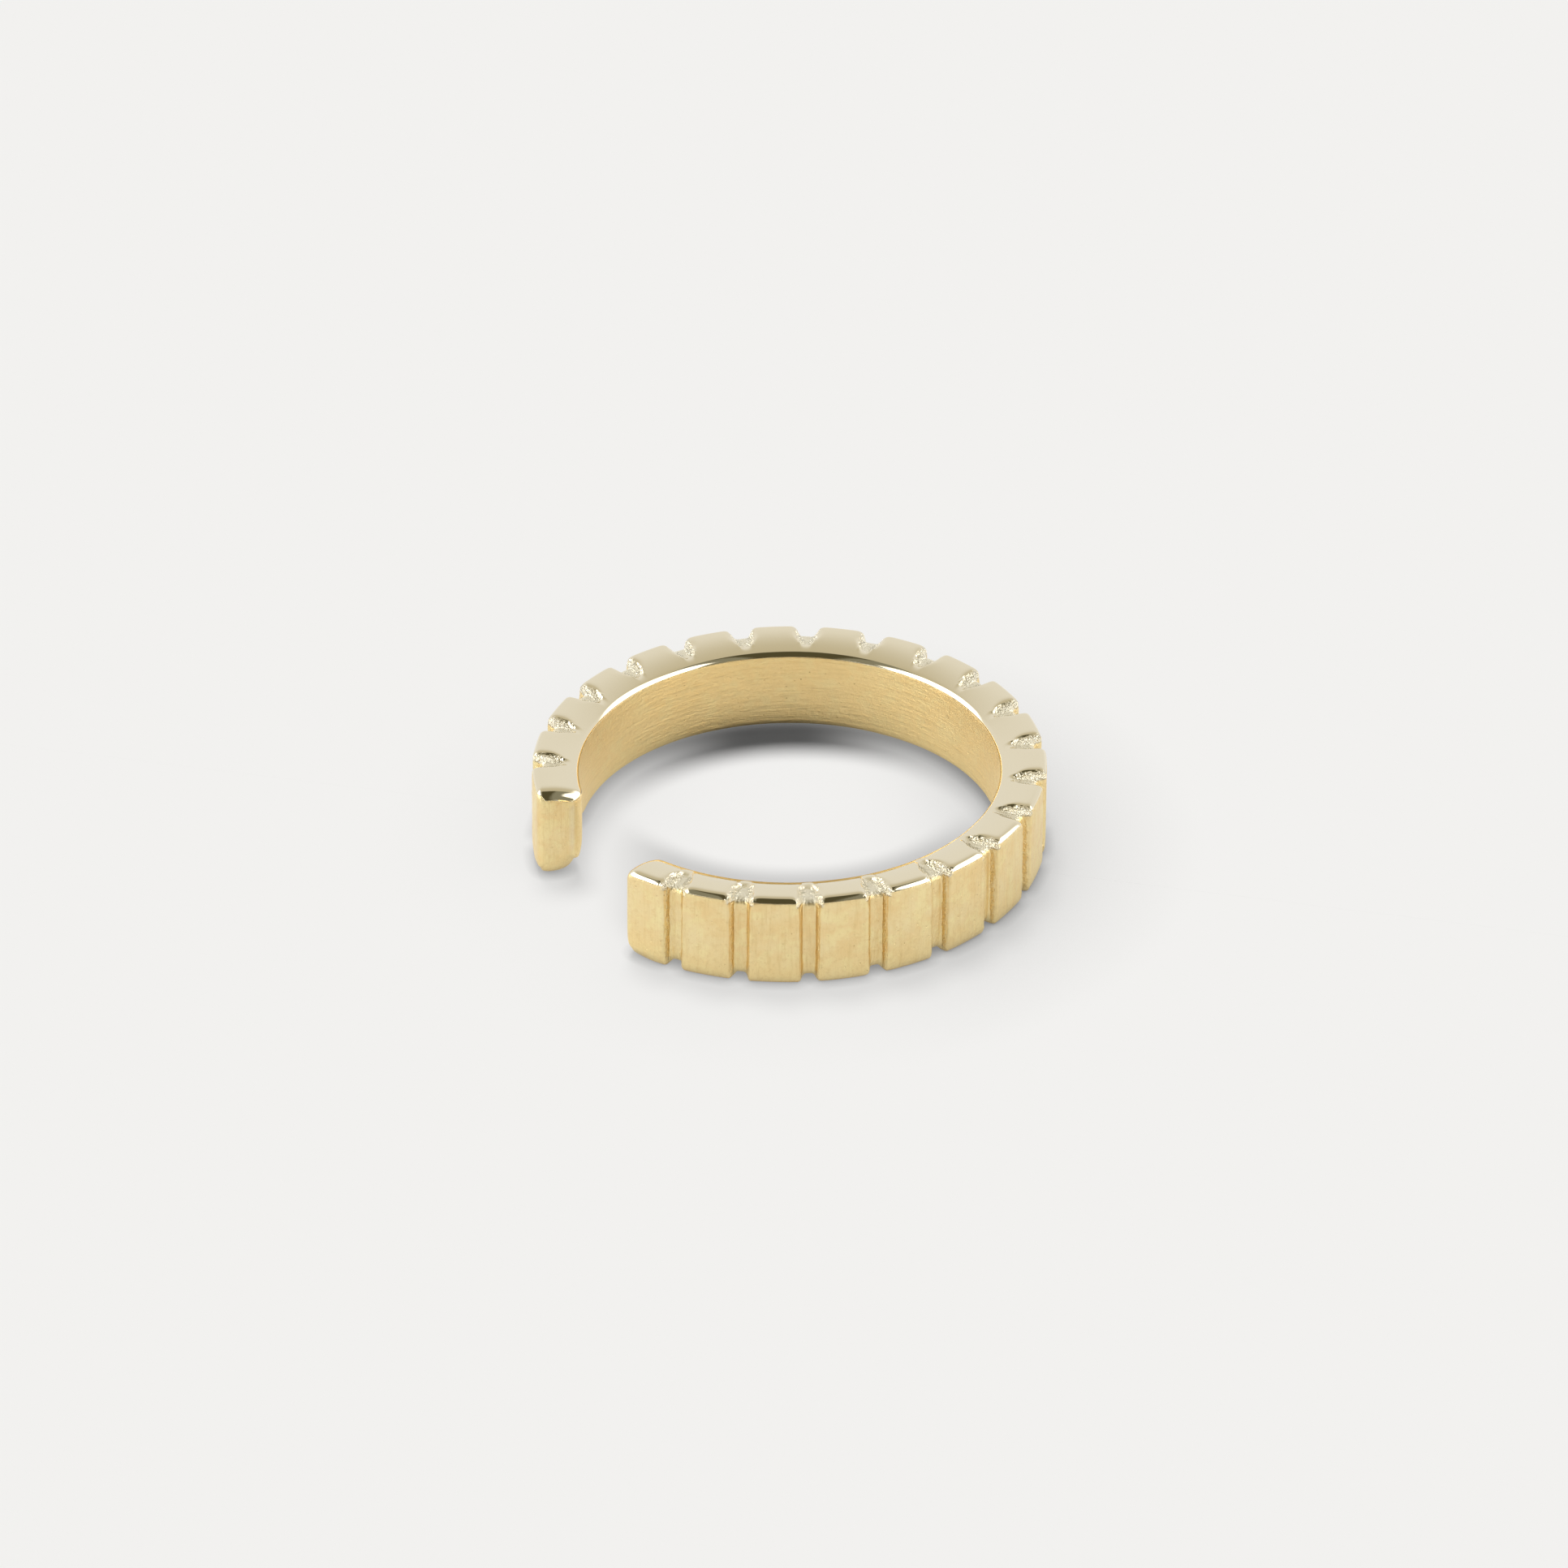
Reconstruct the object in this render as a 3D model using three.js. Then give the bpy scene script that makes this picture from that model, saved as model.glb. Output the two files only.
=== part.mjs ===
// A one-piece cast ear cuff: an open band whose upright grooves leave a row of plain pads round
// its outside. It lies on its side, as it rests on a table.
// Millimetres. +Z is the axis of the ring, the gap between the two ends faces -Y, and the origin
// is under the middle of the cuff, on the surface that it rests on.
import * as THREE from "three";

// The band. The bore is a little longer towards the gap than it is wide.
const boreWidth = 10.12; // along X
const boreLength = 10.36; // along Y
const wall = 1.13; // from the bore out to the faces of the pads
const bandHeight = 2.44;
const gap = 3.94; // straight across, between the outer corners of the two ends

// Rounded edges, each by its radius
const boreEdge = 0.12; // along the top and the bottom of the bore
const padTopEdge = 0.18; // along the top of the pads
const endTopEdge = 0.25; // along the top of both end faces
const endFootEdge = 0.26; // along the bottom of both end faces
const endBoreCorner = 0.37; // upright, where an end face meets the bore
const endPadCorner = 0.14; // upright, where an end face meets the last pad

// The foot of the pads is a taller, softer curve.
const footRise = 0.25;
const footInset = 0.11;

// The top and the underside roll gently towards the bore.
const rollDepth = 0.19; // how far they have sunk at the bore
const rollReach = 0.7; // how far out from the bore they begin to

// Grooves
const grooveCount = 20;
const grooveWidth = 0.52; // at the faces of the pads
const grooveDepth = 0.19;
const firstPad = 1.38; // from the end face on the +X side to the middle of the groove next to it
const lastPad = 1.61; // the same for the end face on the -X side
const topDent = 0.18; // how far the top is sunk where a groove runs out over it
const footDent = 0.12; // the same for the underside
const dentReach = 0.93; // how far in from the faces of the pads the dents fade out

// Half of a groove's section, from its floor out to the pad: each place as a share of half the
// width, and the depth there as a share of the whole depth.
const grooveHalf = [
  { place: 0.5, depth: 1 },
  { place: 0.9, depth: 0.2 },
  { place: 1.2, depth: 0 },
];

// Fineness of the faceted model
const edgeFacets = 4; // in each rounded edge
const padFacets = 3; // along the face of each pad
const topFacets = 5; // across the top, where it rolls and the dents fade
const footFacets = 3; // across the roll of the underside; the rest of it is one flat face

// The pads' faces are close to a circle of this radius. Lengths along the band are taken on it.
const padRadius = (boreWidth + boreLength) / 4 + wall;
const gapTurn = 2 * Math.asin(gap / 2 / padRadius);
const bandLength = (2 * Math.PI - gapTurn) * padRadius;
const groovePitch = (bandLength - firstPad - lastPad) / (grooveCount - 1);

// Section of the plain band: x is the height above the table, y the distance out from the bore.
function bandSection() {
  const quarter = Math.PI / 2;
  const topFlatEnd = wall - padTopEdge;
  const section = new THREE.Shape();
  section.moveTo(boreEdge, 0);
  section.absarc(bandHeight - boreEdge, boreEdge, boreEdge, -quarter, 0, false);
  for (let i = 1; i < topFacets; i++) {
    section.lineTo(bandHeight, boreEdge + ((topFlatEnd - boreEdge) * i) / topFacets);
  }
  section.absarc(bandHeight - padTopEdge, topFlatEnd, padTopEdge, 0, quarter, false);
  section.absellipse(footRise, wall - footInset, footRise, footInset, quarter, 2 * quarter, false);
  for (let i = 0; i < footFacets; i++) {
    section.lineTo(0, rollReach + ((boreEdge - rollReach) * i) / footFacets);
  }
  section.absarc(boreEdge, boreEdge, boreEdge, 2 * quarter, 3 * quarter, false);
  return section;
}

// Points strictly between two lengths along the band, evenly spread.
function between(from, to, facets) {
  const inner = Array.from({ length: facets - 1 }, (_, i) => i + 1);
  return inner.map((i) => ({ along: from + ((to - from) * i) / facets, depth: 0 }));
}

// The stations of the band, from the +X end round the back to the -X end. Each has its length
// along the band and the depth of the groove there, as a share.
function bandStations() {
  const halfWidth = grooveWidth / 2;
  const lip = grooveHalf[grooveHalf.length - 1].place * halfWidth;
  const endRound = Array.from({ length: edgeFacets + 1 }, (_, i) => {
    return endBoreCorner * (1 - Math.cos((i * Math.PI) / 2 / edgeFacets));
  });
  const stations = endRound.map((along) => ({ along, depth: 0 }));
  let padStart = endBoreCorner;
  for (let i = 0; i < grooveCount; i++) {
    const middle = firstPad + i * groovePitch;
    stations.push(...between(padStart, middle - lip, padFacets));
    for (const { place, depth } of grooveHalf.toReversed()) {
      stations.push({ along: middle - place * halfWidth, depth });
    }
    for (const { place, depth } of grooveHalf) {
      stations.push({ along: middle + place * halfWidth, depth });
    }
    padStart = middle + lip;
  }
  stations.push(...between(padStart, bandLength - endBoreCorner, padFacets));
  for (const along of endRound.toReversed()) {
    stations.push({ along: bandLength - along, depth: 0 });
  }
  return stations;
}

// How far a quarter round of this radius draws the surface in, at a distance from the end face.
function drawnIn(fromEnd, radius) {
  const inside = Math.max(radius - fromEnd, 0);
  return radius - Math.sqrt(radius * radius - inside * inside);
}

// Rounds the ends, rolls the top and the underside, sinks the grooves and bends the bar round. A
// point of the straight bar has its height as x, its distance out from the bore as y, and the
// number of its station as z.
function shapePoint(point, stations) {
  const { along, depth } = stations[Math.round(point.z)];
  const fromEnd = Math.min(along, bandLength - along);
  const boreIn = drawnIn(fromEnd, endBoreCorner);
  const padIn = drawnIn(fromEnd, endPadCorner);
  const topIn = drawnIn(fromEnd, endTopEdge);
  const footIn = drawnIn(fromEnd, endFootEdge);
  let out = boreIn + point.y * (1 - (boreIn + padIn) / wall);
  let up = footIn + point.x * (1 - (topIn + footIn) / bandHeight);

  const dentStart = wall - dentReach;
  const share = (point.y - dentStart) / (dentReach - padTopEdge);
  const sunk = depth * THREE.MathUtils.clamp(share, 0, 1);
  out -= grooveDepth * sunk;

  const roll = rollDepth * Math.max(1 - point.y / rollReach, 0) ** 2;
  const middle = bandHeight / 2;
  const dent = point.x > middle ? topDent : footDent;
  up = middle + (up - middle) * (1 - (roll + dent * sunk) / middle);

  const angle = (gapTurn - Math.PI) / 2 + along / padRadius;
  const x = (boreWidth / 2 + out) * Math.cos(angle);
  const y = (boreLength / 2 + out) * Math.sin(angle);
  return point.set(x, y, up);
}

function cuffBand() {
  const stations = bandStations();
  const geometry = new THREE.ExtrudeGeometry(bandSection(), {
    depth: stations.length - 1,
    steps: stations.length - 1,
    bevelEnabled: false,
    curveSegments: edgeFacets / 2,
  });
  const position = geometry.getAttribute("position");
  const point = new THREE.Vector3();
  for (let i = 0; i < position.count; i++) {
    shapePoint(point.fromBufferAttribute(position, i), stations);
    position.setXYZ(i, point.x, point.y, point.z);
  }
  geometry.computeBoundingBox();
  const middle = geometry.boundingBox.getCenter(new THREE.Vector3());
  geometry.translate(-middle.x, -middle.y, 0);
  geometry.computeVertexNormals();
  return geometry;
}

const gold = new THREE.MeshStandardMaterial({ color: 0xe3c685, roughness: 0.35, metalness: 1 });

const cuff = new THREE.Group();
const band = new THREE.Mesh(cuffBand(), gold);
band.name = "cuff_band";
cuff.add(band);

export default cuff;
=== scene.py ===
import math

import bmesh
import bpy
from mathutils import Matrix, Vector


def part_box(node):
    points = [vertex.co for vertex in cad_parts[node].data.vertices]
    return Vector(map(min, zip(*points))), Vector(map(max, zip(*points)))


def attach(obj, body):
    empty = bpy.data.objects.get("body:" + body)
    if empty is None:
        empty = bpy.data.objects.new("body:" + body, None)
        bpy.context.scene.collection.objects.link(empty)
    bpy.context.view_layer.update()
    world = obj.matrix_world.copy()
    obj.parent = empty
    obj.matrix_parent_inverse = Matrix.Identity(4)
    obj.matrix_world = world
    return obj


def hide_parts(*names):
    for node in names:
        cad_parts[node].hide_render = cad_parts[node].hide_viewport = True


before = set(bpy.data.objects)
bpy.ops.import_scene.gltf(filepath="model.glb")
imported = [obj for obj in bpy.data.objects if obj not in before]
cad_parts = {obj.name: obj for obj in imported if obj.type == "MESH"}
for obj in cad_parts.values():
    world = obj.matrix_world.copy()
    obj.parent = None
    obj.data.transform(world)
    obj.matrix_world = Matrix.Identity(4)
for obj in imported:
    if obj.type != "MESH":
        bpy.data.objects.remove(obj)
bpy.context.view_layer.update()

cadLow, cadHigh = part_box("cuff_band")

mm = 0.001

# The ring lies flat, with its gap towards -Y. All lengths are millimetres.
ring = {
    "wall": 1.13,                  # from the bore out to the faces of the pads
    "gap": 3.94,                   # between the outer corners of the two ends
    "boreEdge": 0.11,              # rounded edges, by radius
    "padTopEdge": 0.18,
    "footRise": 0.27,              # the foot of the pads is taller than it is deep
    "footInset": 0.14,
    "rollDepth": 0.21,             # how far the top has sunk at the bore, and the underside
    "rollReach": 0.88,
    "endBoreCorner": 0.37,
    "endPadCorner": 0.19,
    "endTopEdge": 0.31,
    "endFootEdge": 0.33,
    "endCornerWidth": 0.56,        # the big round low on the bore side of both end faces
    "endCornerHeight": 1.15,
    "padCornerWidth": 0.24,        # and the small one on their pad side
    "padCornerHeight": 0.34,
    "endCornerReach": 2.8,         # how far along the band these two rounds run out
    "padCornerReach": 0.6,
    "endCornerAtFace": 0.55,       # the big round's size at the end face, as a share
    "endCornerGrowth": 0.6,        # and how far from the face it is full-grown
    "endFacets": 6,
    "faceBulge": 0.004,            # how far each ring of an end face stands out past the last
    "grooves": 20,
    "firstPad": 1.38,              # from the +X end to the middle of its first groove
    "lastPad": 1.61,
    "grooveDepth": 0.19,
    "grooveFloor": 0.155,          # half the floor of a groove, and half its mouth
    "grooveMouth": 0.26,
    "rimFlare": 0.15,              # how much the mouth opens at the top
    "topDent": 0.18,               # how far the top sinks where a groove runs out over it
    "footDent": 0.12,              # the same for the underside
    "dentStart": 0.12,             # from the bore out to where a dent begins
    "dentEnd": 0.76,               # and to where it has sunk all the way
    "rimDepth": 0.16,              # how far down the opening of the mouth is felt
    "archHeight": 0.25,            # how far up the round floor at the foot is felt
    "topRows": 10,
    "unevenness": 0.012,           # slow waves of the hand-finished surface
    "castRoughness": 0.030,        # on the walls of the grooves, which keep their cast skin
    "dentSkin": 0.55,              # the same on the dents, as a share
}

height = (cadHigh.z - cadLow.z) / mm
outerWidth = (cadHigh.x - cadLow.x) / mm
padRadius = outerWidth / 2
boreRadius = padRadius - ring["wall"]
outerLength = 12.62                # along Y, were the ring closed
ringY = cadHigh.y / mm - outerLength / 2
meanRadius = (padRadius + outerLength / 2) / 2
gapTurn = 2 * math.asin(ring["gap"] / 2 / meanRadius)
bandLength = (2 * math.pi - gapTurn) * meanRadius
pitch = (bandLength - ring["firstPad"] - ring["lastPad"]) / (ring["grooves"] - 1)
pitchTurn = pitch / meanRadius
firstGrooveTurn = (gapTurn - math.pi) / 2 + ring["firstPad"] / meanRadius


def deselectObjects():
    if bpy.context.object and bpy.context.object.mode != "OBJECT":
        bpy.ops.object.mode_set(mode="OBJECT")
    bpy.ops.object.select_all(action="DESELECT")


def pick(test):
    # Selects the corners of the piece in edit mode that pass the test on their place.
    mesh = bmesh.from_edit_mesh(bpy.context.object.data)
    for corner in mesh.verts:
        corner.select = test(corner.co)
    mesh.select_flush_mode()
    bmesh.update_edit_mesh(bpy.context.object.data)


def cornersOf(piece):
    return [corner.co.copy() for corner in bmesh.from_edit_mesh(piece.data).verts]


def turnOf(place):
    return math.atan2(place.y, place.x)


def shiftPicked(x, y, z):
    bpy.ops.transform.translate(value=(x, y, z))


def roundCorner(test, radius, steps):
    pick(test)
    bpy.ops.mesh.bevel(offset=radius, segments=steps, affect="VERTICES")


def divideEdge(test, cuts):
    pick(test)
    bpy.ops.mesh.subdivide(number_cuts=cuts)


# The plain section of the band, a plate that stands in the XZ plane at its place on the +X side
def bandSection(name):
    deselectObjects()
    middle = (boreRadius + ring["wall"] / 2, 0, height / 2)
    bpy.ops.mesh.primitive_plane_add(size=1, location=middle, rotation=(math.pi / 2, 0, 0))
    piece = bpy.context.object
    piece.name = name
    bpy.ops.object.transform_apply(location=True, rotation=True, scale=True)
    bpy.ops.object.mode_set(mode="EDIT")
    bpy.ops.mesh.select_all(action="SELECT")
    bpy.ops.transform.resize(value=(ring["wall"], 1, height), center_override=middle)

    midX, midZ = middle[0], middle[2]
    foot = 0.14
    roundCorner(lambda p: p.x < midX and p.z > midZ, ring["boreEdge"], 5)
    roundCorner(lambda p: p.x < midX and p.z < 0.01, ring["boreEdge"], 4)
    roundCorner(lambda p: p.x > padRadius - 0.01 and p.z > midZ, ring["padTopEdge"], 5)
    roundCorner(lambda p: p.x > padRadius - 0.01 and p.z < 0.01, foot, 4)
    pick(lambda p: p.x > padRadius - foot - 0.01 and p.z < foot + 0.01)
    bpy.ops.transform.resize(value=(ring["footInset"] / foot, 1, ring["footRise"] / foot),
                             center_override=(padRadius, 0, 0))
    divideEdge(lambda p: p.z > height - 0.001, ring["topRows"] - 1)
    divideEdge(lambda p: p.z < 0.001, 4)
    divideEdge(lambda p: p.x > padRadius - 0.001, 7)
    divideEdge(lambda p: p.x < boreRadius + 0.001, 7)

    # The top and the underside roll down towards the bore
    for out in sorted({round(corner.x - boreRadius, 4) for corner in cornersOf(piece)}):
        if out < ring["rollReach"]:
            sunk = ring["rollDepth"] * (1 - out / ring["rollReach"]) ** 2
            pick(lambda p: abs(p.x - boreRadius - out) < 0.00006)
            bpy.ops.transform.resize(value=(1, 1, 1 - sunk / midZ), center_override=middle)
    return piece


def spinOn(length, steps=1):
    # Carries the picked section on round the axis of the ring, anticlockwise from above.
    bpy.ops.mesh.spin(steps=steps, angle=-length / meanRadius, center=(0, 0, 0), axis=(0, 0, 1))


def softStep(value, start, end):
    # 0 up to start, 1 from end on, and half a wave between.
    share = min(max((value - start) / (end - start), 0), 1)
    return (1 - math.cos(math.pi * share)) / 2


def grooveSunk(place, out, z):
    # How far a corner sinks, as a share, at a distance from the middle of its groove. The mouth
    # of the groove opens at the top and its floor is round at the foot, and the dents on both
    # faces narrow towards the bore.
    rim = math.exp((z - height) / ring["rimDepth"])
    footRim = math.exp(-z / ring["archHeight"])
    fade = softStep(out, ring["dentStart"], ring["dentEnd"])
    width = 0.4 + 0.6 * fade
    floor = ring["grooveFloor"] * (1 - 0.25 * rim - 0.45 * footRim) * width
    mouth = (ring["grooveMouth"] + ring["rimFlare"] * rim) * width
    return fade * (1 - softStep(place, floor, mouth))


# One groove with half a pad on each side: spun out on one side, sunk, and mirrored
def grooveCell():
    piece = bandSection("cuff_band_gold")
    rows = cornersOf(piece)
    bpy.ops.mesh.select_all(action="SELECT")
    bpy.ops.mesh.delete(type="ONLY_FACE")
    bpy.ops.mesh.select_all(action="SELECT")
    places = [0, 0.06, 0.115, 0.16, 0.185, 0.21, 0.24, 0.28, 0.33, 0.40, 0.56, pitch / 2]
    for here, there in zip(places, places[1:]):
        spinOn(there - here)

    for row in rows:
        out = row.x - boreRadius
        for place in places[:10]:
            share = grooveSunk(place, out, row.z)
            if share > 0:
                turn = place / meanRadius
                pick(lambda p: abs(turnOf(p) - turn) < 0.0005 and abs(p.z - row.z) < 0.0001
                     and abs(math.hypot(p.x, p.y) - row.x) < 0.0001)
                dent = ring["topDent"] if row.z > height / 2 else ring["footDent"]
                lift = (height / 2 - row.z) * dent * share / (height / 2)
                shiftPicked(-ring["grooveDepth"] * share, 0, lift)

    bpy.ops.object.mode_set(mode="OBJECT")
    mirror = piece.modifiers.new("otherHalf", "MIRROR")
    mirror.use_axis = (False, True, False)
    mirror.merge_threshold = 0.0005
    bpy.ops.object.modifier_apply(modifier=mirror.name)
    return piece


def drawnIn(radius, distance):
    # How far a quarter round draws a side in, at a distance from the end face.
    inside = max(radius - distance, 0)
    return radius - math.sqrt(radius * radius - inside * inside)


# One end of the band, from its face at -Y to the plain section where the next cell begins
def endPad(name, length):
    piece = bandSection(name)
    straight = ring["endBoreCorner"]
    quarter = [i * math.pi / 2 / ring["endFacets"] for i in range(ring["endFacets"] + 1)]
    fromEnd = [straight * (1 - math.cos(angle)) for angle in quarter]

    def sides(distance):
        # The four sides of the section at a distance from the end face: bore, pad, foot, top
        bore = boreRadius + drawnIn(ring["endBoreCorner"], distance)
        pads = padRadius - drawnIn(ring["endPadCorner"], distance)
        top = height - drawnIn(ring["endTopEdge"], distance)
        return bore, pads, drawnIn(ring["endFootEdge"], distance), top

    def fit(old, new):
        # Stretches the picked section from its old four sides to the new ones.
        stretchX = (new[1] - new[0]) / (old[1] - old[0])
        stretchZ = (new[3] - new[2]) / (old[3] - old[2])
        bpy.ops.transform.resize(value=(stretchX, 1, stretchZ), center_override=(old[0], 0, old[2]))
        shiftPicked(new[0] - old[0], 0, new[2] - old[2])

    plain = (boreRadius, padRadius, 0, height)
    face = sides(0)
    bpy.ops.mesh.select_all(action="SELECT")
    shiftPicked(0, -straight, 0)
    fit(plain, face)

    # The face is filled in rings, and stands out a little in its middle
    middle = ((face[0] + face[1]) / 2, -straight, (face[2] + face[3]) / 2)
    for shrink in (0.9, 0.78, 0.66, 0.5):
        bpy.ops.mesh.extrude_region()
        bpy.ops.transform.resize(value=(shrink, 1, shrink), center_override=middle)
        shiftPicked(0, -ring["faceBulge"], 0)

    # The plate that the first of those rings grew out of is still there inside the end
    bpy.ops.mesh.select_all(action="DESELECT")
    mesh = bmesh.from_edit_mesh(piece.data)
    for plate in mesh.faces:
        plate.select = len(plate.verts) > 4 and plate.calc_center_median().y > -straight - 0.001
    bmesh.update_edit_mesh(piece.data)
    bpy.ops.mesh.delete(type="ONLY_FACE")

    before = face
    pick(lambda p: p.y > -straight - 0.001)
    for here, there in zip(fromEnd, fromEnd[1:]):
        bpy.ops.mesh.extrude_edges_move()
        shiftPicked(0, there - here, 0)
        after = sides(there)
        fit(before, after)
        before = after
    spinOn(length - straight, max(round((length - straight) / 0.13), 1))
    bpy.ops.object.mode_set(mode="OBJECT")
    return piece


def alongBand(place):
    # The length along the band from the middle of the first groove, under 0 in the first end.
    turn = turnOf(place) % (2 * math.pi)
    return meanRadius * (turn if turn < 2 * math.pi - gapTurn else turn - 2 * math.pi)


def roundEndCorners(piece):
    # Draws the square low corners of both ends into quarters of an ellipse, less and less away
    # from the end faces.
    for corner in cornersOf(piece):
        along = alongBand(corner) + ring["firstPad"]
        fromFace = max(min(along, bandLength - along), 0)
        out = math.hypot(corner.x, corner.y) - boreRadius
        foot = drawnIn(ring["endFootEdge"], fromFace)
        boreSide = out - drawnIn(ring["endBoreCorner"], fromFace)
        padSide = ring["wall"] - drawnIn(ring["endPadCorner"], fromFace) - out
        atFace = ring["endCornerAtFace"]
        growth = atFace + (1 - atFace) * min(fromFace / ring["endCornerGrowth"], 1)
        boreWidth, boreRise = ring["endCornerWidth"] * growth, ring["endCornerHeight"] * growth
        for side, width, rise, reach, way in (
                (boreSide, boreWidth, boreRise, ring["endCornerReach"], 1),
                (padSide, ring["padCornerWidth"], ring["padCornerHeight"], ring["padCornerReach"], -1)):
            away, under = 1 - max(side, 0) / width, 1 - (corner.z - foot) / rise
            if away > 0 and under > 0 and fromFace < reach:
                fade = 1 - (fromFace / reach) ** 3
                pull = (1 - max(away, under) / math.hypot(away, under)) * fade
                inward = way * away * width * pull / math.hypot(corner.x, corner.y)
                pick(lambda p: (p - corner).length < 0.00001)
                shiftPicked(corner.x * inward, corner.y * inward, under * rise * pull)


def turnPiece(piece, turn, mirrored=False):
    deselectObjects()
    piece.select_set(True)
    bpy.context.view_layer.objects.active = piece
    if mirrored:
        piece.scale.y = -1
        bpy.ops.object.transform_apply(location=True, rotation=True, scale=True)
    piece.rotation_euler.z = turn
    bpy.ops.object.transform_apply(location=True, rotation=True, scale=True)


def cuffBand():
    band = grooveCell()
    deselectObjects()
    band.select_set(True)
    bpy.context.view_layer.objects.active = band
    bpy.ops.object.mode_set(mode="EDIT")
    bpy.ops.mesh.select_all(action="SELECT")
    bpy.ops.mesh.spin(steps=ring["grooves"] - 1, dupli=True, angle=-(ring["grooves"] - 1) * pitchTurn,
                      center=(0, 0, 0), axis=(0, 0, 1))
    bpy.ops.object.mode_set(mode="OBJECT")
    print("grooves and pads:", len(band.data.polygons), "faces")

    firstLength = ring["firstPad"] - pitch / 2
    lastLength = ring["lastPad"] - pitch / 2
    firstEnd = endPad("first_end", firstLength)
    lastEnd = endPad("last_end", lastLength)
    straight = ring["endBoreCorner"]
    turnPiece(firstEnd, -pitchTurn / 2 - (firstLength - straight) / meanRadius)
    turnPiece(lastEnd, (ring["grooves"] - 0.5) * pitchTurn + (lastLength - straight) / meanRadius, True)

    deselectObjects()
    for piece in (firstEnd, lastEnd, band):
        piece.select_set(True)
    bpy.context.view_layer.objects.active = band
    bpy.ops.object.join()
    bpy.ops.object.mode_set(mode="EDIT")
    bpy.ops.mesh.select_all(action="SELECT")
    bpy.ops.mesh.remove_doubles(threshold=0.002)
    bpy.ops.mesh.normals_make_consistent(inside=False)
    roundEndCorners(band)
    bpy.ops.object.mode_set(mode="OBJECT")
    print("ends joined:", len(band.data.polygons), "faces")

    # The cast skin shows on the dents and on the walls of the grooves, by how far a corner is from
    # the middle of its groove
    skin = band.vertex_groups.new(name="castSkin")
    for corner in band.data.vertices:
        place = alongBand(corner.co) / pitch
        fromGroove = abs(place - min(max(round(place), 0), ring["grooves"] - 1)) * pitch
        out = math.hypot(corner.co.x, corner.co.y) - boreRadius
        if fromGroove < 0.15 + 0.2 * out and out > 0.3 and corner.co.z > height * 0.88:
            skin.add([corner.index], ring["dentSkin"], "REPLACE")
        elif 0.15 < fromGroove < 0.3 and out > 0.6:
            skin.add([corner.index], 1, "REPLACE")

    smooth = band.modifiers.new("smooth", "SUBSURF")
    smooth.levels = 1
    smooth.render_levels = 1
    bpy.ops.object.modifier_apply(modifier=smooth.name)
    for name, size, strength, group in (
            ("handFinish", 2.2, ring["unevenness"], ""),
            ("castSkinNoise", 0.11, ring["castRoughness"], "castSkin")):
        texture = bpy.data.textures.new(name, "CLOUDS")
        texture.noise_scale = size
        texture.noise_depth = 1
        displace = band.modifiers.new(name, "DISPLACE")
        displace.texture = texture
        displace.texture_coords = "LOCAL"
        displace.mid_level = 0.5
        displace.strength = strength
        displace.vertex_group = group
        bpy.ops.object.modifier_apply(modifier=displace.name)

    turnPiece(band, firstGrooveTurn)
    band.scale = (mm, mm * outerLength / outerWidth, mm)
    band.location = (0, ringY * mm, 0)
    bpy.ops.object.transform_apply(location=True, rotation=True, scale=True)
    lowest = min(corner.co.z for corner in band.data.vertices)
    band.location.z = -lowest
    bpy.ops.object.transform_apply(location=True, rotation=True, scale=True)
    bpy.ops.object.shade_smooth()
    return band


class Wire:
    # One output of a node, which can be written with in sums. Other nodes come from add.
    def __init__(self, nodes, socket=None):
        self.nodes = nodes
        self.socket = socket

    def add(self, kind, settings, sockets, output=0):
        node = self.nodes.nodes.new(kind)
        for name, value in settings.items():
            setattr(node, name, value)
        for name, value in sockets.items():
            if isinstance(value, Wire):
                self.nodes.links.new(value.socket, node.inputs[name])
            else:
                node.inputs[name].default_value = value
        return Wire(self.nodes, node.outputs[output] if node.outputs else None)

    def math(self, operation, first, second=0.0):
        return self.add("ShaderNodeMath", {"operation": operation}, {0: first, 1: second})

    def __add__(self, other):
        return self.math("ADD", self, other)

    def __radd__(self, other):
        return self.math("ADD", other, self)

    def __sub__(self, other):
        return self.math("SUBTRACT", self, other)

    def __rsub__(self, other):
        return self.math("SUBTRACT", other, self)

    def __mul__(self, other):
        return self.math("MULTIPLY", self, other)

    def __rmul__(self, other):
        return self.math("MULTIPLY", other, self)

    def __truediv__(self, other):
        return self.math("DIVIDE", self, other)

    def __rtruediv__(self, other):
        return self.math("DIVIDE", other, self)


def absolute(value):
    return value.math("ABSOLUTE", value)


def ease(value, start, end):
    # 0 before start, 1 past end, and a soft rise between.
    return value.add("ShaderNodeMapRange", {"interpolation_type": "SMOOTHSTEP"},
                     {"Value": value, "From Min": start, "From Max": end})


def mixNumber(share, first, second):
    return share.add("ShaderNodeMix", {"data_type": "FLOAT"}, {0: share, 2: first, 3: second})


def mixColor(share, first, second, blend="MIX"):
    return share.add("ShaderNodeMix", {"data_type": "RGBA", "blend_type": blend},
                     {0: share, 6: first, 7: second}, 2)


def noise(place, scale, detail=2.0, roughness=0.5):
    return place.add("ShaderNodeTexNoise", {},
                     {"Vector": place, "Scale": scale, "Detail": detail, "Roughness": roughness})


def cells(place, scale):
    # The distance to the middle of the nearest of many small cells.
    return place.add("ShaderNodeTexVoronoi", {"feature": "F1"}, {"Vector": place, "Scale": scale})


def stretched(place, scale, turn=0.0):
    return place.add("ShaderNodeMapping", {},
                     {"Vector": place, "Rotation": (0, 0, turn), "Scale": scale})


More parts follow.
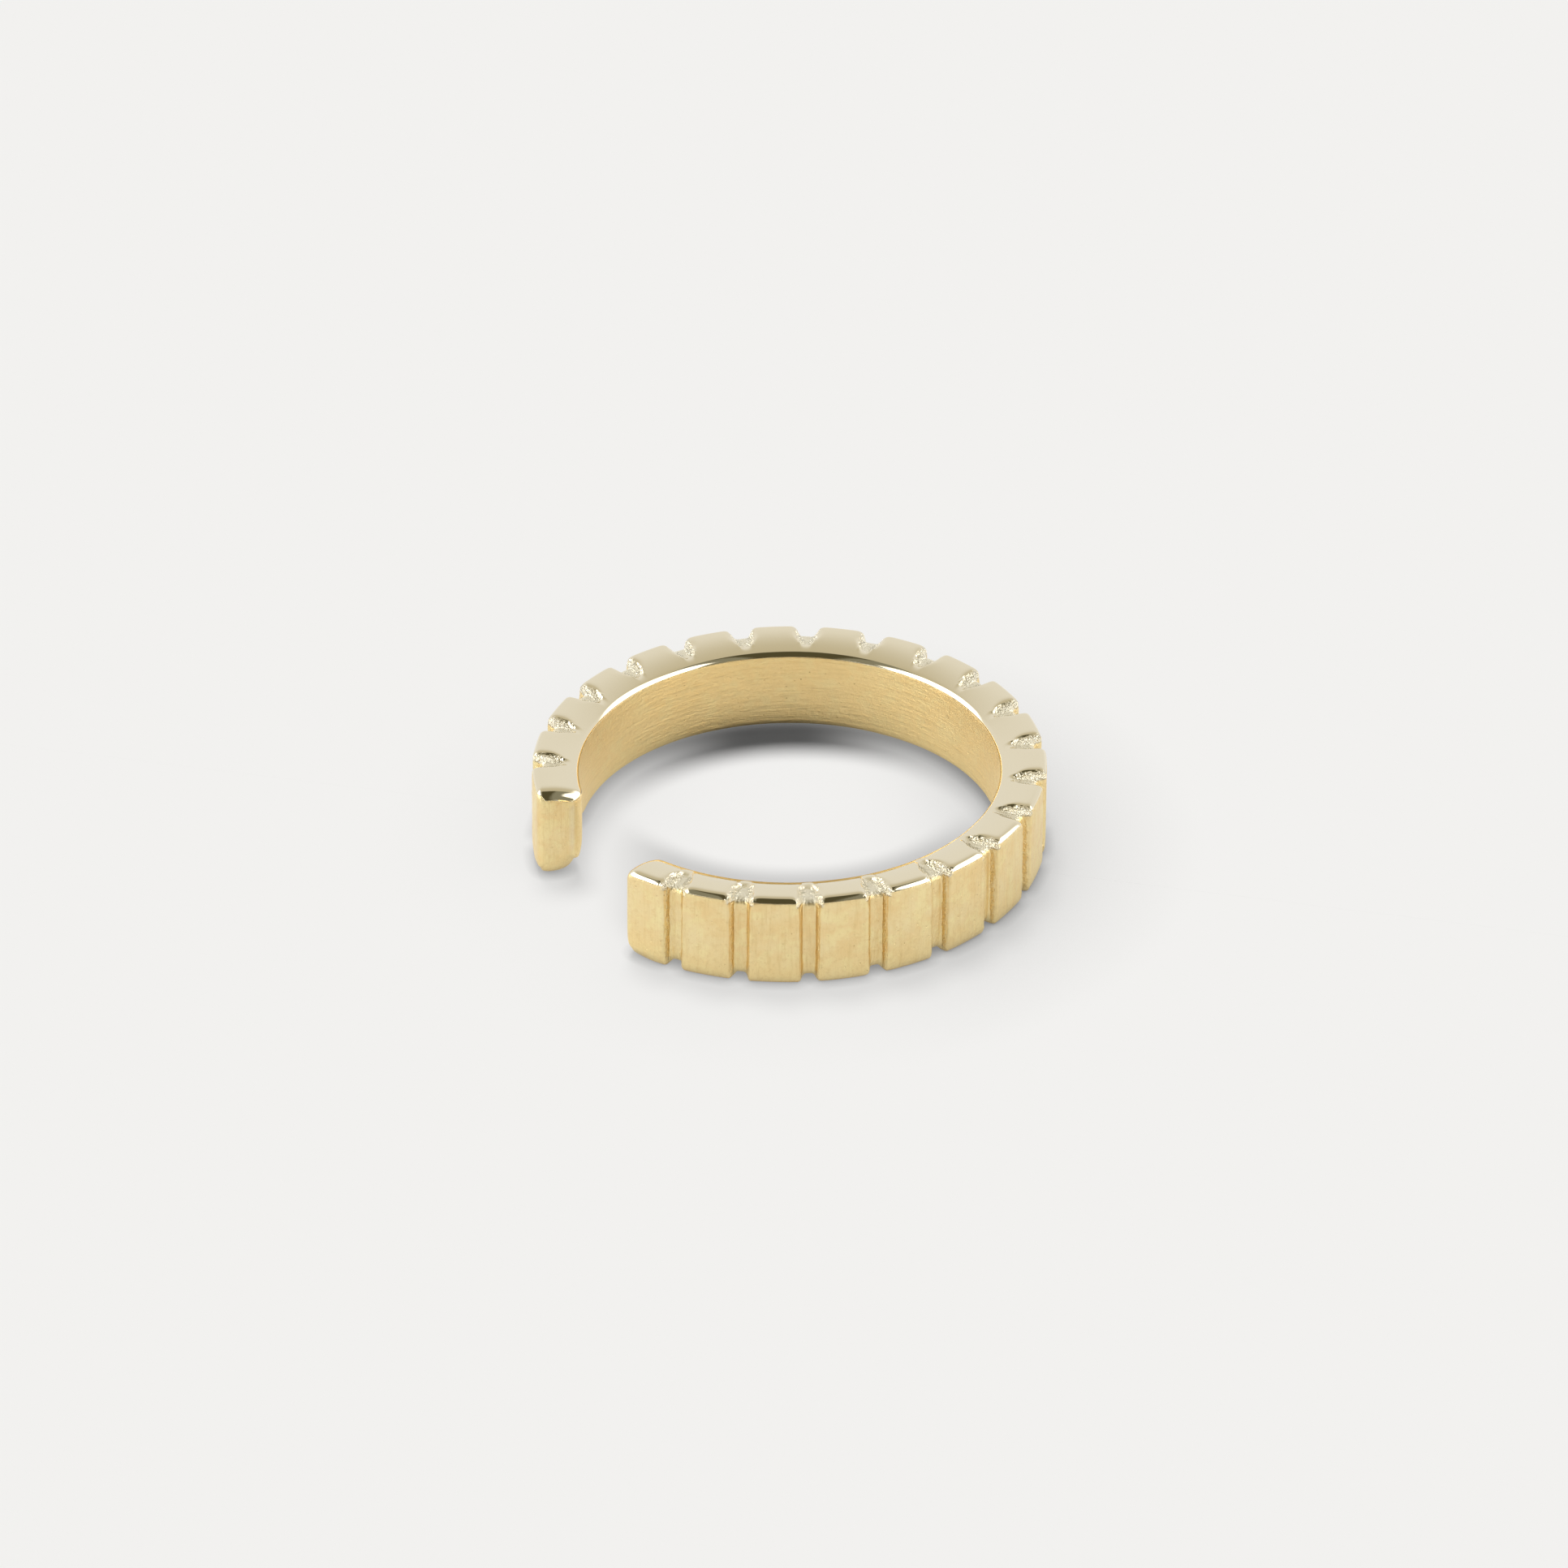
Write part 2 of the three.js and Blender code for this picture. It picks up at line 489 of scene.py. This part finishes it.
goldFinish = {
    "satinColor": (0.93, 0.765, 0.425, 1),
    "satinDeep": (0.90, 0.68, 0.335, 1),
    "satinLemon": (0.96, 0.83, 0.44, 1),
    "boreColor": (1.0, 0.755, 0.355, 1),
    # painted light: lighter, warmer gold low on the band
    "lowPaintedLight": (1.0, 0.79, 0.38, 1),
    "speckColor": (0.78, 0.58, 0.27, 1),
    "pitColor": (0.55, 0.36, 0.13, 1),
    "polishedColor": (0.90, 0.81, 0.61, 1),
    "castColor": (0.97, 0.91, 0.74, 1),
    # painted shade and reflection in the grooves, also used for the painted shade on the end faces
    "grooveShadeLine": (0.90, 0.66, 0.28, 1),
    # painted shade along the foot of the pads
    "footShadeColor": (0.72, 0.47, 0.19, 1),
    "satinRoughness": 0.38,
    "polishedRoughness": 0.055,
    "castRoughness": 0.22,
    "padsBelowTop": 0.118,         # how far below the top the satin of the pads begins
    "boreBelowTop": 0.275,         # the same in the bore
    "endsBelowTop": 0.225,         # on the end faces, towards the pads and towards the bore
    "endsBelowTopInside": 0.33,
    "brushScale": (12, 12, 0.9),   # brush marks on the pads and the ends, per millimetre
    "boreBrushScale": (0.9, 9, 11),
    "hairlineScale": (1.5, 26, 1),
    "mottleScale": 1.1,
    "lemonScale": 2.3,
    "speckleScale": 8.5,
    "crumbScale": 17,
    "pitScale": 5.5,
    "reliefDepth": 0.000012,       # metres
}


def goldMaterial():
    material = bpy.data.materials.new("castGold")
    material.use_nodes = True
    tree = material.node_tree
    tree.nodes.clear()
    wire = Wire(tree)
    objectPlace = wire.add("ShaderNodeTexCoord", {}, {}, 3)
    place = wire.add("ShaderNodeMapping", {"vector_type": "POINT"},
                     {"Vector": objectPlace, "Location": (0, -ringY, 0), "Scale": (1000, 1000, 1000)})
    parts = wire.add("ShaderNodeSeparateXYZ", {}, {"Vector": place})
    x, y, z = (Wire(tree, parts.socket.node.outputs[i]) for i in range(3))
    y = y * (outerWidth / outerLength)
    out = wire.math("SQRT", x * x + y * y) - boreRadius
    turn = wire.math("ARCTAN2", -1 * x, y)            # 0 at the back, the gap at both extremes
    along = turn * meanRadius
    cell = (turn + (math.pi / 2 - firstGrooveTurn)) / pitchTurn
    cell = wire.math("MINIMUM", wire.math("MAXIMUM", cell, -0.5), ring["grooves"] - 0.5)
    cell = cell + (noise(place, 5.5, 3, 0.6) - 0.5) * 0.03
    fromGroove = absolute(wire.math("FRACT", cell + 100.5) - 0.5) * pitch
    endTurn = (2 * math.pi - gapTurn) / 2
    fromEnd = (endTurn - absolute(turn)) * meanRadius

    # Where each finish is
    wobble = (noise(place, 3.1, 2) - 0.5) * 0.02
    onPads = ease(out, 0.45, 0.6)
    boreBorder = goldFinish["boreBelowTop"] + ease(-1 * turn, 0.9, 1.7) * 0.05
    deeper = (1 - ease(fromGroove, 0.2, 0.26)) * ease(turn, -0.8, 0.2)
    padBorder = goldFinish["padsBelowTop"] + deeper * 0.14
    borderBelow = mixNumber(onPads, boreBorder, padBorder)
    onEnd = (1 - ease(fromEnd, 0.06, 0.2)) * (1 - ease(out, 0.95, 1.05))
    endBorder = mixNumber(ease(out, 0.35, 0.85), goldFinish["endsBelowTopInside"],
                          goldFinish["endsBelowTop"])
    borderBelow = mixNumber(onEnd, borderBelow, endBorder)
    polished = ease(z + borderBelow + wobble, height - 0.008, height + 0.008)
    underside = 1 - ease(z, 0.008, 0.03)
    polished = wire.math("MAXIMUM", polished, underside * 0.8)
    dentEdge = fromGroove + (1 - out) * 0.14 + (noise(place, 9, 3) - 0.5) * 0.12
    onDent = (1 - ease(dentEdge, 0.22, 0.36)) * ease(out, 0.25, 0.6)
    onDent = onDent * ease(z + (noise(place, 12) - 0.5) * 0.1, height - 0.26, height - 0.2)
    # Painted shade and reflection: a deeper-gold line along the walls of each groove, where they shade and
    # mirror each other
    grooveShadeLine = ease(fromGroove, 0.165, 0.19) * (1 - ease(fromGroove, 0.205, 0.23)) * ease(out, 0.7, 0.85)
    grooveShadeLine = grooveShadeLine * (1 - ease(z, height - 0.3, height - 0.2))
    inBore = 1 - ease(out, 0.12, 0.3)

    # Brush marks run up the pads and the ends, and round the bore
    bandPlace = wire.add("ShaderNodeCombineXYZ", {}, {0: along, 1: out, 2: z})
    upPlace = stretched(bandPlace, goldFinish["brushScale"])
    roundPlace = stretched(bandPlace, goldFinish["boreBrushScale"])
    grain = mixNumber(inBore, noise(upPlace, 1, 4, 0.65), noise(roundPlace, 1, 4, 0.65))
    mottle = noise(place, goldFinish["mottleScale"], 4, 0.6)
    speckle = noise(place, goldFinish["speckleScale"], 4, 0.75)
    crumbs = noise(place, goldFinish["crumbScale"], 3, 0.7)
    pits = 1 - ease(cells(place, goldFinish["pitScale"]), 0.05, 0.13)

    satin = mixColor(ease(mottle, 0.32, 0.68), goldFinish["satinColor"], goldFinish["satinDeep"])
    satin = mixColor(inBore * 0.75, satin, goldFinish["boreColor"])
    lemon = ease(noise(place, goldFinish["lemonScale"], 3), 0.45, 0.65) * (0.6 - inBore * 0.3)
    satin = mixColor(lemon, satin, goldFinish["satinLemon"])
    # Painted light: the satin is lighter and warmer towards the foot, against the shaded floor that the low
    # faces reflect
    satin = mixColor((1 - ease(z, 0.1, 1.1)) * 0.6, satin, goldFinish["lowPaintedLight"])
    streaks = ease(grain, 0.45, 0.75)
    satin = mixColor(streaks * 0.42, satin, goldFinish["speckColor"])
    satin = mixColor(ease(speckle, 0.48, 0.70) * (0.42 - inBore * 0.27), satin, goldFinish["speckColor"])
    satin = mixColor(pits * ease(noise(place, 1.7), 0.5, 0.6) * 0.6, satin, goldFinish["pitColor"])
    brokenLine = ease(noise(place, 8, 4, 0.7), 0.35, 0.62)
    # The painted shade and reflection along the grooves, broken up in places
    satin = mixColor(grooveShadeLine * (0.1 + brokenLine * 0.65), satin, goldFinish["grooveShadeLine"])

    # Painted shade and a painted highlight on the end faces beside the bore, as of a soft upright ridge;
    # painted shade along the foot
    onFace = (1 - ease(fromEnd, 0.2, 0.45)) * ease(z, 0.5, 0.9) * (1 - ease(z, height - 0.35, height - 0.2))
    ridgePlace = out + wobble * 1.2
    endRidgeShade = ease(ridgePlace, 0.14, 0.2) * (1 - ease(ridgePlace, 0.21, 0.27)) * onFace
    endRidgeHighlight = ease(ridgePlace, 0.24, 0.29) * (1 - ease(ridgePlace, 0.33, 0.42)) * onFace
    satin = mixColor(endRidgeShade * 0.45, satin, goldFinish["grooveShadeLine"])
    satin = mixColor(endRidgeHighlight * 0.22, satin, goldFinish["castColor"])
    # Painted shade: a darker line low along the pads, where their foot turns under towards the floor
    footShadeLine = (1 - ease(z + wobble, 0.03, 0.12)) * ease(out, 0.6, 0.8)
    satin = mixColor(footShadeLine * 0.6, satin, goldFinish["footShadeColor"])
    color = mixColor(polished, satin, goldFinish["polishedColor"])
    color = mixColor(onDent, color, goldFinish["castColor"])

    atWalls = 0.3 + 0.7 * ease(dentEdge, 0.10, 0.22)
    satinRough = goldFinish["satinRoughness"] + inBore * 0.05 + (grain - 0.5) * 0.24 + (speckle - 0.5) * 0.16
    smudges = ease(noise(place, 0.9, 4, 0.65), 0.5, 0.8) * 0.05
    polishedRough = goldFinish["polishedRoughness"] + smudges
    rough = mixNumber(polished, satinRough, polishedRough)
    sparkle = ease(crumbs, 0.55, 0.65)
    castRough = goldFinish["castRoughness"] + (1 - atWalls) * 0.24 - sparkle * 0.12
    rough = mixNumber(onDent, rough, castRough)

    # Fine relief: brush marks on the satin, hairlines on the polish, facets on the cast dents
    hairlines = noise(stretched(place, goldFinish["hairlineScale"], 0.7), 1, 2, 0.6)
    facets = cells(place, goldFinish["crumbScale"])
    satinHeight = grain * 1.7 + speckle * 1.3 + pits * -0.5 + grooveShadeLine * crumbs * 2.5
    castHeight = (facets * 3.4 + crumbs * 4.4) * atWalls
    relief = mixNumber(polished, satinHeight, hairlines * 0.025)
    relief = mixNumber(onDent, relief, castHeight)
    bump = wire.add("ShaderNodeBump", {}, {"Distance": goldFinish["reliefDepth"], "Height": relief})

    shader = wire.add("ShaderNodeBsdfPrincipled", {},
                      {"Base Color": color, "Metallic": 1.0, "Roughness": rough, "Normal": bump})
    wire.add("ShaderNodeOutputMaterial", {}, {"Surface": shader})
    return material


camera = {
    "azimuth": 56.966,             # degrees
    "elevation": 32.937,
    "roll": 0.408,
    "distance": 320,               # millimetres
    "pixelsPerMm": 50.3835,
    "photoWidth": 1932,
    "shiftRight": -0.1217,         # how far the lens stands off the line to the ring, in mm
    "shiftUp": 1.4556,
}


def cameraAxes():
    azimuth = math.radians(camera["azimuth"])
    elevation = math.radians(camera["elevation"])
    roll = math.radians(camera["roll"])
    towards = Vector((math.sin(azimuth) * math.cos(elevation), -math.cos(azimuth) * math.cos(elevation),
                      math.sin(elevation)))
    level = Vector((math.cos(azimuth), math.sin(azimuth), 0))
    upright = towards.cross(level)
    right = level * math.cos(roll) + upright * math.sin(roll)
    up = upright * math.cos(roll) - level * math.sin(roll)
    return right, up, towards


def floorAxes():
    # The ways back and to the right in the picture, along the floor.
    right, up, towards = cameraAxes()
    return Vector((-towards.x, -towards.y, 0)).normalized(), Vector((right.x, right.y, 0)).normalized()


def photoCamera():
    right, up, towards = cameraAxes()
    place = towards * camera["distance"] + right * camera["shiftRight"] + up * camera["shiftUp"]
    place = (place + Vector((0, ringY, 0))) * mm
    turned = Matrix((right, up, towards)).transposed().to_quaternion()
    lens = bpy.data.cameras.new("camera")
    lens.sensor_width = 36
    lens.lens = 36 * camera["distance"] / (camera["photoWidth"] / camera["pixelsPerMm"])
    lens.clip_start = 0.01
    lens.clip_end = 20
    holder = bpy.data.objects.new("camera", lens)
    bpy.context.scene.collection.objects.link(holder)
    holder.rotation_mode = "QUATERNION"
    holder.rotation_quaternion = turned
    holder.location = place
    bpy.context.scene.camera = holder


studio = {
    "backdrop": (0.888, 0.880, 0.863, 1),
    "ownLightOutside": 0.85,       # share of the floor's look that no lamp's shadow darkens
    "ownLightInside": 0.04,        # in the ring, at the back and at the front
    "ownLightInFront": 0.70,
    "ownLightAside": 0.68,         # added towards both sides of the ring
    "nearShade": 0.48,             # how dark the floor gets close to the metal, and how far out
    "nearReach": 0.32,
    "farShade": 0.16,
    "farReach": 4.0,
    "rightShade": 0.40,
    "innerHalo": 0.44,             # a soft shade on the floor behind the front of the band
    "haloBack": 3.3,               # how far back it is shifted from the bore's outline
    "wallColor": (0.82, 0.816, 0.80, 1),    # the pale wall behind, low down
    "wallTopColor": (0.58, 0.54, 0.43, 1),  # and right overhead
    "darkColor": (0.085, 0.075, 0.040, 1),  # the dark room on the camera's side
    "greyColor": (0.25, 0.245, 0.19, 1),    # between the dark room and the boxes
    "boxColor": (1.0, 0.995, 0.98, 1),
    "leftBoxLight": 3.45,
    "rightBoxLight": 2.5,
    "leftBoxEdge": (0.58, 0.74),            # soft edges, each as two shares of a direction
    "rightBoxEdge": (0.50, 0.64),
    "boxTopEdge": (0.68, 0.80),
    "boxNearEdge": (-0.68, -0.58),
    "boxFarEdge": (0.32, 0.46),
    "greyEdge": (0.32, 0.42),
    "wallRise": (0.5, 1.35),                # radians up from the horizon behind
    "roomRise": (1.5, 1.68),
    "floorLamps": (                # share of the light, turn from the back, rise, softness
        (0.92, 12, 67, 22),
        (0.08, 80, 50, 40),
    ),
}


def studioFloor():
    deselectObjects()
    bpy.ops.mesh.primitive_plane_add(size=4)
    floor = bpy.context.object
    floor.name = "floor"
    material = bpy.data.materials.new("palePaper")
    material.use_nodes = True
    tree = material.node_tree
    tree.nodes.clear()
    wire = Wire(tree)
    place = wire.add("ShaderNodeTexCoord", {}, {}, 3)
    fromRing = wire.add("ShaderNodeVectorMath", {"operation": "DISTANCE"},
                        {0: place, 1: (0, ringY * mm, 0)}, 1) * 1000
    back, level = floorAxes()
    toBack = wire.add("ShaderNodeVectorMath", {"operation": "DOT_PRODUCT"}, {0: place, 1: tuple(back)}, 1)
    toBack = toBack * 1000 - back.y * ringY
    toRight = wire.add("ShaderNodeVectorMath", {"operation": "DOT_PRODUCT"}, {0: place, 1: tuple(level)}, 1)
    toRight = toRight * 1000 - level.y * ringY
    aside = ease(absolute(toRight + 0.4), 0.6, 4.3)
    inside = mixNumber(ease(toBack, -1.0, 2.6), studio["ownLightInFront"],
                       studio["ownLightInside"] + aside * studio["ownLightAside"])
    outside = ease(fromRing, boreRadius, padRadius)
    ownShare = mixNumber(outside, inside, studio["ownLightOutside"])

    def openness(reach, shade):
        # 1 on the bare floor and less near the metal, which hides a part of the room from it
        unseen = wire.add("ShaderNodeAmbientOcclusion", {"samples": 4}, {"Distance": reach * mm}, 1)
        return 1 - (1 - unseen) * shade

    farShade = studio["farShade"] + ease(toRight, 1, 6) * studio["rightShade"]
    clear = openness(studio["nearReach"], studio["nearShade"]) * openness(studio["farReach"], farShade)
    haloMiddle = Vector((0, ringY, 0)) + back * studio["haloBack"]
    fromHalo = wire.add("ShaderNodeVectorMath", {"operation": "DISTANCE"},
                        {0: place, 1: tuple(haloMiddle * mm)}, 1) * 1000
    halo = ease(fromHalo, boreRadius - 0.9, boreRadius) * (1 - outside) * (1 - ease(toBack, -0.5, 2.0))
    halo = halo * ease(toRight, -4.9, -2.6)
    clear = clear * (1 - halo * studio["innerHalo"])
    paper = wire.add("ShaderNodeBsdfDiffuse", {}, {"Color": studio["backdrop"]})
    unlit = wire.add("ShaderNodeEmission", {}, {"Color": studio["backdrop"], "Strength": 0.0})
    glow = wire.add("ShaderNodeEmission", {}, {"Color": studio["backdrop"], "Strength": 1.0})
    shaded = wire.add("ShaderNodeMixShader", {}, {0: clear, 1: unlit, 2: glow})
    both = wire.add("ShaderNodeMixShader", {}, {0: ownShare, 1: paper, 2: shaded})
    wire.add("ShaderNodeOutputMaterial", {}, {"Surface": both})
    floor.data.materials.append(material)
    return floor


def floorLamps(floor):
    # Soft lamps from behind and from the left, that light the floor alone and cast the shadows
    lit = bpy.data.collections.new("litFloor")
    lit.objects.link(floor)
    azimuth = math.radians(camera["azimuth"])
    for i, (share, turn, rise, softness) in enumerate(studio["floorLamps"]):
        lamp = bpy.data.lights.new("floorLamp", "SUN")
        lamp.energy = share * math.pi / math.sin(math.radians(rise))
        lamp.angle = math.radians(softness)
        holder = bpy.data.objects.new("floorLamp" + str(i + 1), lamp)
        bpy.context.scene.collection.objects.link(holder)
        around = azimuth + math.radians(turn)
        flat = math.cos(math.radians(rise))
        direction = Vector((-math.sin(around) * flat, math.cos(around) * flat, math.sin(math.radians(rise))))
        holder.rotation_mode = "QUATERNION"
        holder.rotation_quaternion = direction.to_track_quat("Z", "Y")
        holder.light_linking.receiver_collection = lit


def studioLight():
    back, level = floorAxes()
    world = bpy.data.worlds.new("studio")
    bpy.context.scene.world = world
    world.use_nodes = True
    tree = world.node_tree
    tree.nodes.clear()
    wire = Wire(tree)
    ray = wire.add("ShaderNodeTexCoord", {}, {}, 0)

    def share(axis):
        return wire.add("ShaderNodeVectorMath", {"operation": "DOT_PRODUCT"}, {0: ray, 1: axis}, 1)

    side = share(tuple(level))
    backward = share(tuple(back))
    upward = share((0, 0, 1))
    rise = wire.math("ARCTAN2", upward, backward)     # 0 at the horizon behind, half a turn in front
    wall = mixColor(ease(rise, *studio["wallRise"]), studio["wallColor"], studio["wallTopColor"])
    room = mixColor(ease(absolute(side), *studio["greyEdge"]), studio["darkColor"], studio["greyColor"])
    light = mixColor(ease(rise, *studio["roomRise"]), wall, room)
    toRight = ease(side, *studio["rightBoxEdge"])
    toLeft = ease(-1 * side, *studio["leftBoxEdge"])
    boxLight = toRight * studio["rightBoxLight"] + toLeft * studio["leftBoxLight"]
    box = wire.add("ShaderNodeVectorMath", {"operation": "SCALE"}, {0: studio["boxColor"][:3], 3: boxLight})
    boxEdges = (1 - ease(upward, *studio["boxTopEdge"])) * ease(backward, *studio["boxNearEdge"])
    boxEdges = boxEdges * (1 - ease(backward, *studio["boxFarEdge"]))
    light = mixColor(boxEdges * wire.math("MAXIMUM", toRight, toLeft), light, box)
    background = wire.add("ShaderNodeBackground", {}, {"Color": light, "Strength": 1.0})
    wire.add("ShaderNodeOutputWorld", {}, {"Surface": background})
    world.cycles_visibility.diffuse = False            # the floor has lamps of its own
    world.cycles.sampling_method = "MANUAL"
    world.cycles.sample_map_resolution = 1024


photoCamera()
band = cuffBand()
band.data.materials.clear()
band.data.materials.append(goldMaterial())
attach(band, "root")
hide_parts("cuff_band")
print("band:", len(band.data.polygons), "faces")

band.visible_diffuse = False
floorLamps(studioFloor())
studioLight()
bpy.context.scene.view_settings.view_transform = "Standard"
print("floor and light are set")
